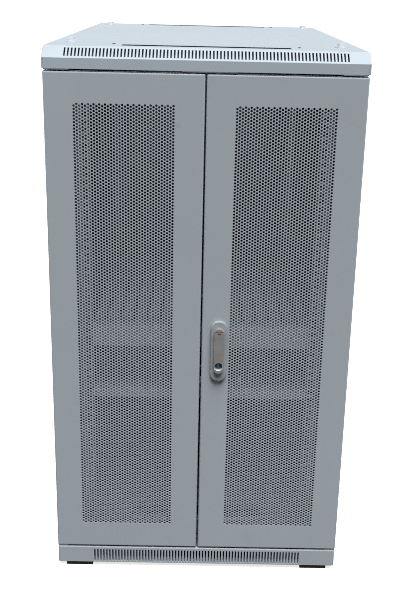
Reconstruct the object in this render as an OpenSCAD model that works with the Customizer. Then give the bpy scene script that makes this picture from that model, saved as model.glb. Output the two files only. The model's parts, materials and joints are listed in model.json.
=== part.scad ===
// Floor-standing 19 inch rack cabinet with two front door leaves, one rear door,
// two shelves and two roof fans. It stands on z = 0, centred on x and y.
// The front faces -y, and +x is on the right as seen from the front.

/* [Cabinet] */
// Outside width of the body, side panel to side panel
cab_w = 600; // [590:2:620]
// Outside depth of the body, front door face to rear door face
cab_d = 1000; // [900:20:1100]
// Rack units (44.45 mm each) between the floor and the roof
rack_units = 22; // [20:1:24]
// Clearance under the body with the levelling feet screwed right in
foot_h = 10; // [8:1:16]
// Height of the slotted plinth under the doors
base_h = 40; // [36:1:50]

/* [Sheet metal] */
// Sheet thickness of doors and side panels
sheet = 1.2; // [1:0.1:1.5]
// Sheet thickness of the frame
frame_t = 2; // [1.5:0.1:2.5]
// Thickness of a folded door leaf
door_t = 20; // [18:1:22]
// Gap between the two front leaves
leaf_gap = 3; // [2:0.5:5]
// Width of the folded lip at the back of a door
lip = 14; // [10:1:15]

/* [Ventilation slots] */
// Number of slots along the roof chamfer
roof_slots = 81; // [41:1:81]
// Slot spacing along the roof chamfer
roof_slot_pitch = 6.49; // [6:0.01:6.6]
// Number of slots along the plinth
base_slots = 69; // [35:1:69]
// Slot spacing along the plinth
base_slot_pitch = 6.5; // [6:0.1:6.6]
// Width of one slot
slot_w = 3; // [2:0.1:3.5]

/* [Roof] */
// Height of the upright fascia of the roof
fascia_h = 19.5; // [15:0.5:25]
// Rise of the chamfer above the fascia
chamfer_rise = 20; // [15:1:25]
// Depth of the chamfer
chamfer_run = 22.7; // [18:0.1:26]
// Thickness of the roof sheet
roof_t = 1.5; // [1:0.1:2]

/* [Swing handle] */
// Distance from the free edge of the leaf to the lock centre line
lock_in = 34.5; // [32:0.5:38]
// Height of the handle spindle above the floor
spindle_z = 556; // [540:1:600]
// Distance from the spindle down to the key core
core_drop = 70; // [66:1:76]
// Throw of each lock rod over a quarter turn
rod_throw = 12; // [10:1:12]

/* [Shelves] */
// Top of the upper shelf
shelf_hi = 539; // [480:1:700]
// Height of the upper shelf's front lip
shelf_hi_lip = 43; // [30:1:43]
// Top of the lower shelf
shelf_lo = 395; // [200:1:420]
// Height of the lower shelf's front lip
shelf_lo_lip = 15; // [12:1:40]

/* [Fans] */
// Side of the square fan frame
fan_side = 120; // [110:5:120]
// Distance of each fan from the centre line
fan_x = 80; // [70:1:100]
// Number of blades on a fan rotor
fan_blades = 7; // [5:1:9]

/* [Hidden] */
$fn = 48;
unit_h = 44.45;
half_w = cab_w / 2;
half_d = cab_d / 2;
front = -half_d;                   // outer face of the front doors
z_floor = foot_h + base_h;         // top of the base frame
floor_t = 1.5;
door_lo = z_floor + 3;
door_hi = door_lo + rack_units * unit_h + 28.1;
door_back = front + door_t;
roof_lo = door_hi + 4.5;
roof_mid = roof_lo + fascia_h;
roof_hi = roof_mid + chamfer_rise;
frame_hi = roof_hi - roof_t;       // top of the top frame
plate_t = 2.5;                     // hinge and keeper plates
plate_lo = roof_lo - plate_t;
side_y = half_d - 25;              // ends of side panels, outer faces of posts
post_x0 = 252;                     // inner face of a post
post_x1 = half_w - 16;             // outer face of a post
post_y0 = half_d - 60;             // inner end of a post
foot_x = half_w - 45;
foot_y = half_d - 35;
roof_bolt_x = half_w - 38;
roof_bolt_y = half_d - 128;
hinge_x = half_w - 8.5;            // vertical hinge axes
hinge_y = front + 12;
hinge_pin_r = 3;
edge_x = half_w + 0.2;             // outer edge of a door
lock_x = leaf_gap / 2 + lock_in;   // lock centre line of the right front leaf
rear_lock_x = -edge_x + lock_in;   // the same for the rear leaf, drawn at the front
slide_x = -24;                     // slide bolts of the left leaf
slide_y = front + 14;
keeper_y = front + 16;             // holes that take the lock rods
keeper_r = 6;
grey = [0.74, 0.77, 0.79];
grey_in = [0.70, 0.73, 0.75];
steel = [0.80, 0.81, 0.82];
dark = [0.10, 0.11, 0.12];
handle_grey = [0.46, 0.45, 0.44];

// ---- helpers (most cutters overrun their piece by 1 mm) ----------------
// box between its lowest and highest corners
module box(x0, x1, y0, y1, z0, z1) {
    translate([x0, y0, z0]) cube([x1 - x0, y1 - y0, z1 - z0]);
}
// box centred on x and y
module mid_box(half_x, half_y, z0, z1) { box(-half_x, half_x, -half_y, half_y, z0, z1); }
// cylinders along each axis, between two stations
module cyl_x(y, z, r, x0, x1) {
    translate([x0, y, z]) rotate([0, 90, 0]) cylinder(r = r, h = x1 - x0);
}
module cyl_y(x, z, r, y0, y1) {
    translate([x, y0, z]) rotate([-90, 0, 0]) cylinder(r = r, h = y1 - y0);
}
module cyl_z(x, y, r, z0, z1) {
    translate([x, y, z0]) cylinder(r = r, h = z1 - z0);
}
module flip_x() { mirror([1, 0, 0]) children(); }
module flip_y() { mirror([0, 1, 0]) children(); }
module both_x() { children(); flip_x() children(); }
module both_y() { children(); flip_y() children(); }
module corners() { both_x() both_y() children(); }
// half turn that takes parts drawn at the front to the rear
module turned() { rotate([0, 0, 180]) children(); }
// left edge of slot i in a centred row
function slot_x(i, count, pitch) = (i - (count - 1) / 2) * pitch - slot_w / 2;

// ---- base -------------------------------------------------------------
// ring of C-section with slotted front and rear plinths and foot bosses
module base_frame() color(grey) {
    boss_h = 20;
    deck_lo = z_floor - frame_t;
    flange_hi = foot_h + frame_t;
    difference() {
        union() {
            difference() {
                mid_box(half_w, half_d - 1, foot_h, z_floor);
                mid_box(half_w - frame_t, half_d - 1 - frame_t, flange_hi, deck_lo);
                mid_box(240, half_d - 80, deck_lo - 1, z_floor + 1);
                mid_box(225, half_d - 70, foot_h - 1, flange_hi + 1);
            }
            corners() cyl_z(foot_x, foot_y, 11, foot_h, foot_h + boss_h);
        }
        corners() cyl_z(foot_x, foot_y, 6, foot_h - 1, foot_h + boss_h + 1);
        both_y() for (i = [0 : base_slots - 1])
            translate([slot_x(i, base_slots, base_slot_pitch), front, foot_h + 4])
                cube([slot_w, 5, base_h - 11]);
        // keeper holes for the lower rods and bolt
        cyl_z(lock_x + rod_throw, keeper_y, keeper_r, deck_lo - 1, z_floor + 1);
        cyl_z(slide_x, slide_y, keeper_r, deck_lo - 1, z_floor + 1);
        turned() cyl_z(rear_lock_x + rod_throw, keeper_y, keeper_r, deck_lo - 1, z_floor + 1);
        // anchor holes in the lower flange
        corners() cyl_z(foot_x, half_d - 120, 5.5, foot_h - 1, flange_hi + 1);
    }
}
// flat floor with a front and a rear cable entry, notched round the posts
module floor_panel() color(grey_in) {
    entry_x = 150;
    cut_lo = z_floor - 1;
    cut_hi = z_floor + 3;
    difference() {
        mid_box(post_x1, side_y, z_floor, z_floor + floor_t);
        corners() box(post_x0 - 1, half_w, front, -post_y0 + 1, cut_lo, cut_hi);
        box(-entry_x, entry_x, half_d - 190, half_d - 100, cut_lo, cut_hi);
        box(-entry_x, entry_x, front + 110, front + 170, cut_lo, cut_hi);
    }
}
// C-section post, drawn at the front right and open to the rear
module corner_post() color(grey_in) {
    difference() {
        box(post_x0, post_x1, -side_y, -post_y0, z_floor, plate_lo);
        box(post_x0 + frame_t, post_x1 - frame_t, -side_y + frame_t, -post_y0 + 1,
            z_floor - 1, plate_lo + 1);
    }
}
module corner_post_front_left() { flip_x() corner_post(); }
module corner_post_front_right() { corner_post(); }
module corner_post_rear_left() { flip_y() flip_x() corner_post(); }
module corner_post_rear_right() { flip_y() corner_post(); }

// ---- top --------------------------------------------------------------
// ring of channel, open downwards, that ties the posts together under the roof
module top_frame() color(grey_in) {
    open_x = 250;
    open_y = half_d - 52;
    difference() {
        mid_box(post_x1, side_y, roof_lo, frame_hi);
        mid_box(open_x, open_y, roof_lo - 1, frame_hi + 1);
        // hollow of the channel
        difference() {
            mid_box(post_x1 - frame_t, side_y - frame_t, roof_lo - 1, frame_hi - frame_t);
            mid_box(open_x + frame_t, open_y + frame_t, roof_lo - 2, frame_hi);
        }
        corners() cyl_z(roof_bolt_x, roof_bolt_y, 5, frame_hi - frame_t - 1, frame_hi + 1);
    }
}
chamfer_angle = atan2(chamfer_rise, chamfer_run);
// side profile of the roof, inset by t and extended down by drop
module roof_profile(t, drop) {
    fascia_y = half_d + 1 - t;
    fold_z = roof_mid - t * (1 - sin(chamfer_angle)) / cos(chamfer_angle);
    top_y = half_d + 1 - chamfer_run - t * (1 - cos(chamfer_angle)) / sin(chamfer_angle);
    polygon([[-fascia_y, roof_lo - drop], [-fascia_y, fold_z], [-top_y, roof_hi - t],
        [top_y, roof_hi - t], [fascia_y, fold_z], [fascia_y, roof_lo - drop]]);
}
// roof: fascia, chamfer slotted as the fans' outlet front and rear, cable slots in the top
module roof_cover() color(grey) {
    roof_x = half_w + 1;
    slot_len = 21;
    slope = sqrt(chamfer_rise * chamfer_rise + chamfer_run * chamfer_run);
    cut_lo = roof_hi - 3;
    cut_hi = roof_hi + 1;
    difference() {
        translate([-roof_x, 0, 0]) rotate([90, 0, 90])
            linear_extrude(2 * roof_x) roof_profile(0, 0);
        translate([-roof_x + roof_t, 0, 0]) rotate([90, 0, 90])
            linear_extrude(2 * (roof_x - roof_t)) roof_profile(roof_t, 1);
        both_y() for (i = [0 : roof_slots - 1])
            translate([slot_x(i, roof_slots, roof_slot_pitch) + slot_w / 2, front - 1, roof_mid])
                rotate([chamfer_angle, 0, 0])
                    translate([-slot_w / 2, (slope - slot_len) / 2, -roof_t - 1.2])
                        cube([slot_w, slot_len, roof_t + 2.4]);
        // cable slots
        both_y() box(-160, 160, front + 55, front + 89, cut_lo, cut_hi);
        // screw holes beside the cable slots
        corners() cyl_z(177, half_d - 92, 2.5, cut_lo, cut_hi);
        corners() cyl_z(roof_bolt_x, roof_bolt_y, 5.5, cut_lo, cut_hi);
        // seams between the fascias and the end cheeks
        corners() box(half_w - 2.9, half_w - 2.1, front - 2, front - 0.3,
            roof_lo - 1, roof_mid - 0.5);
    }
}
washer_t = 2;
module roof_washers() color(steel) {
    corners() difference() {
        cyl_z(roof_bolt_x, roof_bolt_y, 12, roof_hi, roof_hi + washer_t);
        cyl_z(roof_bolt_x, roof_bolt_y, 5.5, roof_hi - 1, roof_hi + washer_t + 1);
    }
}
module roof_bolts() color(steel) {
    corners() translate([roof_bolt_x, roof_bolt_y, 0]) {
        // the hexagon keeps a corner on the x axis
        translate([0, 0, roof_hi + washer_t]) cylinder(r = 8.7, h = 6.4, $fn = 6);
        translate([0, 0, roof_hi - 22]) cylinder(r = 5, h = 24.5);
    }
}

// ---- 19 inch rails and shelves ----------------------------------------
rail_in = 225;                     // inner edge of the rails
rail_out = 248;
rail_hole_x = 232.56;
rail_hole = 9.5;                   // side of a square hole
rail_depth = 40;
rail_y = half_d - 60;              // front rails' outer face, taken positive
rear_rail_y = half_d - 170;        // rear rails' outer face
rail_z0 = z_floor + 12;            // bottom of unit 1
rail_hi = rail_z0 + rack_units * unit_h;
shelf_screw_in = 10;               // screw line behind a rail's face
shelf_screw_r = 3;
shelf_screw_ys = [-rail_y + shelf_screw_in, rear_rail_y - shelf_screw_in];
shelf_screw_zs = [shelf_hi - shelf_hi_lip / 2, shelf_lo - shelf_lo_lip / 2];

// side rails of the frame: three C-section beams a side
module depth_beams() color(grey_in) {
    beam_h = 40;
    both_x() for (z = [z_floor + 14, z_floor + 470, plate_lo - 54])
        difference() {
            box(rail_out, post_x1, -post_y0, post_y0, z, z + beam_h);
            box(rail_out + frame_t, post_x1 + 1, -post_y0 - 1, post_y0 + 1,
                z + frame_t, z + beam_h - frame_t);
        }
}
// right-hand rail with three square holes a unit; face is the y of its front
module rail(face) color(steel) {
    back = face + rail_depth;
    difference() {
        box(rail_in, rail_out, face, back, rail_z0 - 6, rail_hi + 6);
        box(rail_in + frame_t, rail_out - frame_t, face + frame_t, back + 1,
            rail_z0 - 7, rail_hi + 7);
        // the inner flange is shorter
        box(rail_in - 1, rail_in + frame_t + 1, face + 15, back + 1, rail_z0 - 7, rail_hi + 7);
        for (u = [0 : rack_units - 1]) for (h = [6.35, 22.225, 38.1])
            translate([rail_hole_x - rail_hole / 2, face - 1,
                rail_z0 + u * unit_h + h - rail_hole / 2])
                cube([rail_hole, frame_t + 2, rail_hole]);
        for (z = shelf_screw_zs)
            cyl_x(face + shelf_screw_in, z, shelf_screw_r, rail_in - 1, rail_in + frame_t + 1);
    }
}
module rail_front_left() { flip_x() rail(-rail_y); }
module rail_front_right() { rail(-rail_y); }
module rail_rear_left() { turned() rail(-rear_rail_y); }
module rail_rear_right() { flip_y() rail(-rear_rail_y); }

// tray shelf, folded down on all sides, with rows of vent slots
module shelf(top, lip_h) color(grey) {
    shelf_t = 1.5;
    x1 = rail_in - 0.1;
    y0 = -rail_y + 1;
    y1 = rear_rail_y - 2;
    row_pitch = (y1 - y0 - 60) / 4;
    difference() {
        box(-x1, x1, y0, y1, top - lip_h, top);
        box(-x1 + shelf_t, x1 - shelf_t, y0 + shelf_t, y1 - shelf_t,
            top - lip_h - 1, top - shelf_t);
        for (i = [-7 : 7]) for (row = [0 : 3])
            translate([i * 28.67 - 3.5, y0 + 40 + row * row_pitch, top - 3])
                cube([7, row_pitch - 20, 5]);
        both_x() for (y = shelf_screw_ys)
            cyl_x(y, top - lip_h / 2, shelf_screw_r, x1 - 3, x1 + 1);
    }
}
module shelf_upper() { shelf(shelf_hi, shelf_hi_lip); }
module shelf_lower() { shelf(shelf_lo, shelf_lo_lip); }
module shelf_screws() color(steel) {
    both_x() for (y = shelf_screw_ys) for (z = shelf_screw_zs) {
        cyl_x(y, z, 5, rail_in - 5.1, rail_in - 1.6);
        cyl_x(y, z, shelf_screw_r, rail_in - 2, rail_in + 7);
    }
}

// ---- fans -------------------------------------------------------------
fan_hi = roof_lo + 16.5;
fan_lo = fan_hi - 25;
fan_screw_r = 2.15;
tray_x = 250;
tray_y = 100;
tray_hi = fan_hi + 2;
flange_top = fan_hi + 14;          // top of the tray's upturned flanges

// four screw holes on a square about (x, 0)
module fan_screw_holes(x, reach, z0, z1) {
    for (sx = [-1, 1]) for (sy = [-1, 1])
        cyl_z(x + sx * reach, sy * reach, fan_screw_r, z0, z1);
}
module fan_tray() color(grey_in) {
    difference() {
        mid_box(tray_x, tray_y, fan_hi, tray_hi);
        both_x() cyl_z(fan_x, 0, 57, fan_hi - 1, tray_hi + 1);
        both_x() fan_screw_holes(fan_x, 52.5, fan_hi - 1, tray_hi + 1);
    }
    both_y() box(-tray_x, tray_x, -tray_y, -tray_y + 1.5, fan_hi + 1, flange_top);
}
// square housing with a round duct, four struts, a motor base and the rotor shaft
module fan_frame(x) color(dark) {
    half = fan_side / 2;
    strut_t = 3;
    difference() {
        box(x - half, x + half, -half, half, fan_lo, fan_hi);
        cyl_z(x, 0, half - 2.5, fan_lo - 1, fan_hi + 1);
        fan_screw_holes(x, half - 7.5, fan_lo - 1, fan_hi + 1);
    }
    translate([x, 0, fan_lo]) for (turn = [45, 135]) rotate([0, 0, turn])
        translate([-half, -3, 0]) cube([fan_side, 6, strut_t]);
    cyl_z(x, 0, 21, fan_lo, fan_lo + strut_t);
    cyl_z(x, 0, 2, fan_lo + 2, fan_hi - 6);
}
module fan_frame_left() { fan_frame(-fan_x); }
module fan_frame_right() { fan_frame(fan_x); }
// hub with tilted flat blades, bored for the shaft
module fan_rotor(x) color([0.16, 0.17, 0.18]) translate([x, 0, 0]) difference() {
    blade_w = 24;
    blade_t = 1.6;
    union() {
        cyl_z(0, 0, 20, fan_lo + 4, fan_hi - 2);
        for (i = [0 : fan_blades - 1]) rotate([0, 0, i * 360 / fan_blades])
            translate([18, 0, fan_lo + 13]) rotate([35, 0, 0])
                translate([0, -blade_w / 2, -blade_t / 2])
                    cube([fan_side / 2 - 23, blade_w, blade_t]);
    }
    cyl_z(0, 0, 2.05, fan_lo + 3, fan_hi - 5);
}
module fan_rotor_left() { fan_rotor(-fan_x); }
module fan_rotor_right() { fan_rotor(fan_x); }
// finger guard under each fan: four rings on two crossed straps
guard_t = 1.5;
strap_w = 5;
strap_half = 76;
module fan_guards() color(steel) both_x() translate([fan_x, 0, fan_lo - guard_t]) {
    for (r = [18, 31, 44, 56]) difference() {
        cylinder(r = r, h = guard_t);
        translate([0, 0, -1]) cylinder(r = r - 2.5, h = guard_t + 2);
    }
    for (turn = [45, 135]) rotate([0, 0, turn]) difference() {
        translate([-strap_half, -strap_w / 2, 0]) cube([2 * strap_half, strap_w, guard_t]);
        translate([0, 0, -1]) cylinder(r = 10, h = guard_t + 2);
        for (side = [-1, 1])
            translate([side * 74.25, 0, -1]) cylinder(r = fan_screw_r, h = guard_t + 2);
    }
}
// mains lead of the fans: hangs from the tray, turns up, over and down to its plug
lead_y = -108;
lead_r = 3.5;
lead_bend = 20;
module half_bend(x, z, start) {
    translate([x, lead_y, z]) rotate([90, 0, 0]) rotate([0, 0, start])
        rotate_extrude(angle = 180) translate([lead_bend, 0]) circle(r = lead_r);
}
module fan_lead() color([0.66, 0.68, 0.70]) {
    down_x = -238;
    up_x = down_x + 2 * lead_bend;
    plug_x = up_x + 2 * lead_bend;
    low_z = roof_lo - 264;
    high_z = roof_lo - 190;
    plug_lo = high_z - 62;
    cyl_z(down_x, lead_y, lead_r, low_z, tray_hi);
    half_bend(down_x + lead_bend, low_z, 180);
    cyl_z(up_x, lead_y, lead_r, low_z, high_z);
    half_bend(up_x + lead_bend, high_z, 0);
    cyl_z(plug_x, lead_y, lead_r, high_z - 16, high_z);
    cyl_z(plug_x, lead_y, 6, high_z - 30, high_z - 16);
    box(plug_x - 14, plug_x + 14, lead_y - 9, lead_y + 9, plug_lo, high_z - 30);
    // plug blades
    for (side = [-1, 1])
        box(plug_x + side * 8 - 2, plug_x + side * 8 + 2, lead_y - 3, lead_y + 3,
            plug_lo - 16, plug_lo);
    // clamp on the tray's flange
    box(down_x - 7, down_x + 7, lead_y - 7, -tray_y, tray_hi, flange_top);
}

// ---- hinges and keepers -----------------------------------------------
// both front sides, and the rear leaf's hinge side
module at_hinges() {
    both_x() children();
    turned() children();
}
module hinge_low() {
    difference() {
        box(hinge_x - 12, hinge_x + 7, front + 3, -side_y - 1, z_floor, z_floor + plate_t);
        cyl_z(hinge_x, hinge_y, hinge_pin_r, z_floor - 1, z_floor + 4);
    }
}
module hinge_high() {
    difference() {
        union() {
            box(post_x0, hinge_x + 7, front + 3, -side_y - 1, plate_lo, roof_lo);
            box(post_x0, post_x1, -side_y - 1.5, -post_y0, plate_lo, roof_lo);
        }
        cyl_z(hinge_x, hinge_y, hinge_pin_r, plate_lo - 1, roof_lo + 1);
    }
}
module hinge_brackets() color(steel) {
    at_hinges() {
        hinge_low();
        hinge_high();
    }
    // plain plate over the remaining rear post
    turned() flip_x() box(post_x0, post_x1, -side_y, -post_y0, plate_lo, roof_lo);
}
module hinge_pins() color(steel) {
    at_hinges() {
        cyl_z(hinge_x, hinge_y, hinge_pin_r, z_floor, z_floor + 17);
        cyl_z(hinge_x, hinge_y, hinge_pin_r, door_hi - 14, roof_lo);
    }
}
// plates under the top frame that the upper rods and bolt shoot into
module lock_keepers() color(steel) {
    keeper_front = front + 6;
    keeper_back = front + 45;
    rear_end_x = -200;
    difference() {
        box(slide_x - 20, lock_x + 20, keeper_front, keeper_back, plate_lo, roof_lo);
        cyl_z(lock_x - rod_throw, keeper_y, keeper_r, plate_lo - 1, roof_lo + 1);
        cyl_z(slide_x, slide_y, keeper_r, plate_lo - 1, roof_lo + 1);
    }
    turned() difference() {
        box(rear_lock_x - 30, rear_end_x, keeper_front, -side_y - 0.5, plate_lo, roof_lo);
        cyl_z(rear_lock_x - rod_throw, keeper_y, keeper_r, plate_lo - 1, roof_lo + 1);
    }
    turned() box(-post_x0 + 0.5, rear_end_x, -side_y - 1, keeper_back, plate_lo, roof_lo);
}

// ---- feet -------------------------------------------------------------
// square pad, collar, hexagon and stud; sx and sy pick the corner
module foot(sx, sy) color(dark) translate([sx * foot_x, sy * foot_y, 0]) {
    pad = 57;
    translate([-pad / 2, -pad / 2, 0]) cube([pad, pad, foot_h - 4]);
    translate([0, 0, foot_h - 4]) cylinder(r = 16, h = 1.5);
    translate([0, 0, foot_h - 3]) cylinder(r = 10.4, h = 2.5, $fn = 6);
    translate([0, 0, foot_h - 1]) cylinder(r = 5.95, h = 34);
}
module foot_front_left() { foot(-1, -1); }
module foot_front_right() { foot(1, -1); }
module foot_rear_left() { foot(-1, 1); }
module foot_rear_right() { foot(1, 1); }

// ---- side panels ------------------------------------------------------
side_lo = z_floor + floor_t;
side_lock_z = plate_lo - 100;
side_bore_r = 9.05;
module side_panel() color(grey) {
    difference() {
        box(half_w - 15, half_w, -side_y, side_y, side_lo, plate_lo);
        box(half_w - 16, half_w - sheet, -side_y + sheet, side_y - sheet,
            side_lo + sheet, plate_lo - sheet);
        cyl_x(0, side_lock_z, side_bore_r, half_w - 3, half_w + 1);
    }
    // collar that carries the lock
    difference() {
        cyl_x(0, side_lock_z, 13, half_w - 6, half_w - sheet / 2);
        cyl_x(0, side_lock_z, side_bore_r, half_w - 7, half_w + 1);
    }
}
module side_panel_left() { flip_x() side_panel(); }
module side_panel_right() { side_panel(); }
// quarter-turn lock: round head with a coin slot and a cam behind the collar
module side_lock() color(steel) {
    cam_x = half_w - 9.5;
    difference() {
        cyl_x(0, side_lock_z, 9, cam_x, half_w + 0.6);
        box(half_w - 1, half_w + 1, -6, 6, side_lock_z - 0.9, side_lock_z + 0.9);
    }
    box(cam_x, cam_x + 2.5, 0, 26, side_lock_z - 6, side_lock_z + 6);
}
module side_lock_left() { flip_x() side_lock(); }
module side_lock_right() { side_lock(); }

// ---- doors ------------------------------------------------------------
plug_half = 11;                    // lock housing's plug through the skin
plug_lo = spindle_z - 94;
plug_hi = spindle_z + 12;

// folded pan: front skin, four returns and a lip round the back
module leaf_pan(x0, x1) {
    difference() {
        box(x0, x1, front, door_back, door_lo, door_hi);
        box(x0 + sheet, x1 - sheet, front + sheet, door_back - sheet,
            door_lo + sheet, door_hi - sheet);
        box(x0 + lip, x1 - lip, door_back - sheet - 1, door_back + 1,
            door_lo + lip, door_hi - lip);
    }
}
// leaf from x0 to the right edge, with the barrels that turn on the hinge pins
module hinged_leaf(x0) {
    leaf_pan(x0, edge_x);
    cyl_z(hinge_x, hinge_y, 7, door_lo, door_lo + 16);
    cyl_z(hinge_x, hinge_y, 7, door_hi - 16, door_hi);
}
module hinge_bores() {
    cyl_z(hinge_x, hinge_y, 3.05, door_lo - 1, door_lo + 15);
    cyl_z(hinge_x, hinge_y, 3.05, door_hi - 15, door_hi + 1);
}
// openings for the housing and both rods of a lock centred on x = mid
module lock_cuts(mid) {
    rod_room = 5.5;
    upper_x = mid - rod_throw;
    lower_x = mid + rod_throw;
    box(mid - plug_half, mid + plug_half, front - 1, front + sheet + 1, plug_lo, plug_hi);
    box(upper_x - rod_room, upper_x + rod_room, front + 13, door_back - sheet,
        door_hi - sheet - 1, door_hi + 1);
    box(lower_x - rod_room, lower_x + rod_room, front + 13, door_back - sheet,
        door_lo - 1, door_lo + sheet + 1);
}
module lockable_leaf(x0, mid) color(grey) {
    difference() {
        union() hinged_leaf(x0);
        hinge_bores();
        lock_cuts(mid);
    }
}
module door_front_right() { lockable_leaf(leaf_gap / 2, lock_x); }
module door_front_left() color(grey) {
    difference() {
        flip_x() hinged_leaf(leaf_gap / 2);
        flip_x() hinge_bores();
        cyl_z(slide_x, slide_y, 4.2, door_hi - 3, door_hi + 1);
        cyl_z(slide_x, slide_y, 4.2, door_lo - 1, door_lo + 3);
    }
}
module door_rear() { turned() lockable_leaf(-edge_x, rear_lock_x); }

// slide bolts of the left leaf, one at the top and one at the bottom
module bolt_guides() color(steel) {
    for (z = [door_lo + 22, door_lo + 72, door_hi - 32, door_hi - 82]) difference() {
        box(slide_x - 8, slide_x + 8, front + sheet, front + 21, z, z + 10);
        cyl_z(slide_x, slide_y, 4.05, z - 1, z + 11);
    }
}
module slide_bolt(z, knob_z) color(steel) {
    cyl_z(slide_x, slide_y, 4, z, z + 88);
    cyl_y(slide_x, knob_z, 3, slide_y, front + 26);
}
module slide_bolt_upper() { slide_bolt(door_hi - 90, door_hi - 50); }
module slide_bolt_lower() { slide_bolt(door_lo + 2, door_lo + 50); }

// ---- swing handle and rod lock, on the centre line x = mid --------------
core_z = spindle_z - core_drop;
face_y = front - 8;                // front face of the lock housing
pivot_y = front - 12.5;            // lever tilt axis
pivot_z = spindle_z + 2;
lever_half = 4;                    // half the lever's thickness
pivot_pin_r = 1.5;
crank_y = front + 11.8;            // front of the crank plate and latch tab
crank_pin_r = 2;
pin_room = crank_pin_r + 0.1;
pin_travel = 4.8;                  // slot reach for the pin's lost motion
rod_half = 5;
rod_t = 1.8;
upper_rod_y = front + 14.8;        // front faces of the rods
lower_rod_y = front + 16.8;

// upright bar with round ends
module stadium(mid, w, z0, z1, y0, y1) {
    box(mid - w / 2, mid + w / 2, y0, y1, z0 + w / 2, z1 - w / 2);
    cyl_y(mid, z0 + w / 2, w / 2, y0, y1);
    cyl_y(mid, z1 - w / 2, w / 2, y0, y1);
}
module lock_housing(mid) color([0.50, 0.48, 0.47]) {
    difference() {
        union() {
            stadium(mid, 32, spindle_z - 105, spindle_z + 23, face_y, front);
            box(mid - plug_half, mid + plug_half, front - 1, front + 11.6, plug_lo, plug_hi);
        }
        cyl_y(mid, spindle_z, 8.05, face_y - 1, front + 13);
        cyl_y(mid, core_z, 7.5, face_y - 1, front + 13);
    }
}
// spindle with the lever's tongue in front and the crank plate behind
module lock_spindle(mid) color(steel) {
    crank_back = front + 14.6;
    difference() {
        union() {
            cyl_y(mid, spindle_z, 8, face_y, front + 12);
            cyl_x(pivot_y, pivot_z, lever_half, mid - 3, mid + 3);
            box(mid - 3, mid + 3, pivot_y, face_y + 0.5, pivot_z - 4, pivot_z + 4.4);
        }
        cyl_x(pivot_y, pivot_z, 1.55, mid - 4, mid + 4);
    }
    box(mid - 15, mid + 15, crank_y, crank_back, spindle_z - 4, spindle_z + 4);
    cyl_y(mid, spindle_z, 9, crank_y, crank_back);
    for (side = [-1, 1])
        cyl_y(mid + side * rod_throw, spindle_z, crank_pin_r, front + 14, front + 18.4);
}
// lever: flat bar with a round lower end, forked over the tongue, holed over the key core
module lever(mid) color(handle_grey) {
    cut_y0 = pivot_y - lever_half - 1;
    cut_y1 = pivot_y + lever_half + 1;
    difference() {
        union() {
            intersection() {
                stadium(mid, 19, spindle_z - 85, spindle_z + 20,
                    pivot_y - lever_half, pivot_y + lever_half);
                box(mid - 10, mid + 10, cut_y0, cut_y1, spindle_z - 90, pivot_z);
            }
            cyl_x(pivot_y, pivot_z, lever_half, mid - 9.5, mid + 9.5);
        }
        box(mid - 3.2, mid + 3.2, cut_y0, cut_y1, pivot_z - 5, pivot_z + 5);
        cyl_y(mid, core_z, 8.5, cut_y0, cut_y1);
        cyl_x(pivot_y, pivot_z, pivot_pin_r, mid - 8, mid + 8);
    }
}
module lever_pin(mid) color(steel) { cyl_x(pivot_y, pivot_z, pivot_pin_r, mid - 8, mid + 8); }
// round head over the lever, fixed to the spindle's tongue and turning with it
module lever_head(mid) color(handle_grey) difference() {
    intersection() {
        cyl_y(mid, pivot_z - 0.5, 9.5, pivot_y - lever_half, face_y - 0.3);
        box(mid - 10, mid + 10, pivot_y - 5, face_y, pivot_z + 2.2, pivot_z + 12);
    }
    // hollowed round the lever's barrel, open for the tongue
    cyl_x(pivot_y, pivot_z, 4.2, mid - 11, mid + 11);
    box(mid - 11, mid + 11, pivot_y, face_y, pivot_z + 2, pivot_z + 4.4);
}
// key core with a keyway in front and a latch tab behind
module key_core(mid) color([0.08, 0.10, 0.16]) {
    tab_back = front + 13.2;
    difference() {
        cyl_y(mid, core_z, 7.45, face_y + 0.2, tab_back);
        box(mid - 0.9, mid + 0.9, face_y - 1, face_y + 5, core_z - 4, core_z + 4);
    }
    box(mid - 12, mid, crank_y, tab_back, core_z - 3, core_z + 3);
}
// flat rods; each end plate has a cross slot for a crank pin, opened by the pin's lost motion
module lock_rod_upper(mid) color(steel) {
    x = mid - rod_throw;
    y0 = upper_rod_y;
    y1 = y0 + rod_t;
    difference() {
        union() {
            box(x - rod_half, x + rod_half, y0, y1, spindle_z - 8, door_hi - 3.2);
            box(x - rod_half, mid + 4, y0, y1, spindle_z - 8, spindle_z + 6);
        }
        box(x - pin_room, mid + pin_room, y0 - 0.8, y1 + 0.4,
            spindle_z - pin_travel, spindle_z + pin_room);
    }
}
module lock_rod_lower(mid) color(steel) {
    x = mid + rod_throw;
    y0 = lower_rod_y;
    y1 = y0 + rod_t;
    difference() {
        union() {
            box(x - rod_half, x + rod_half, y0, y1, door_lo + 3.2, spindle_z + 8);
            box(mid - 4, x + rod_half, y0, y1, spindle_z - 6, spindle_z + 8);
        }
        box(mid - pin_room, x + pin_room, y0 - 0.8, y1 + 0.4,
            spindle_z - pin_room, spindle_z + pin_travel);
    }
}
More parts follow.
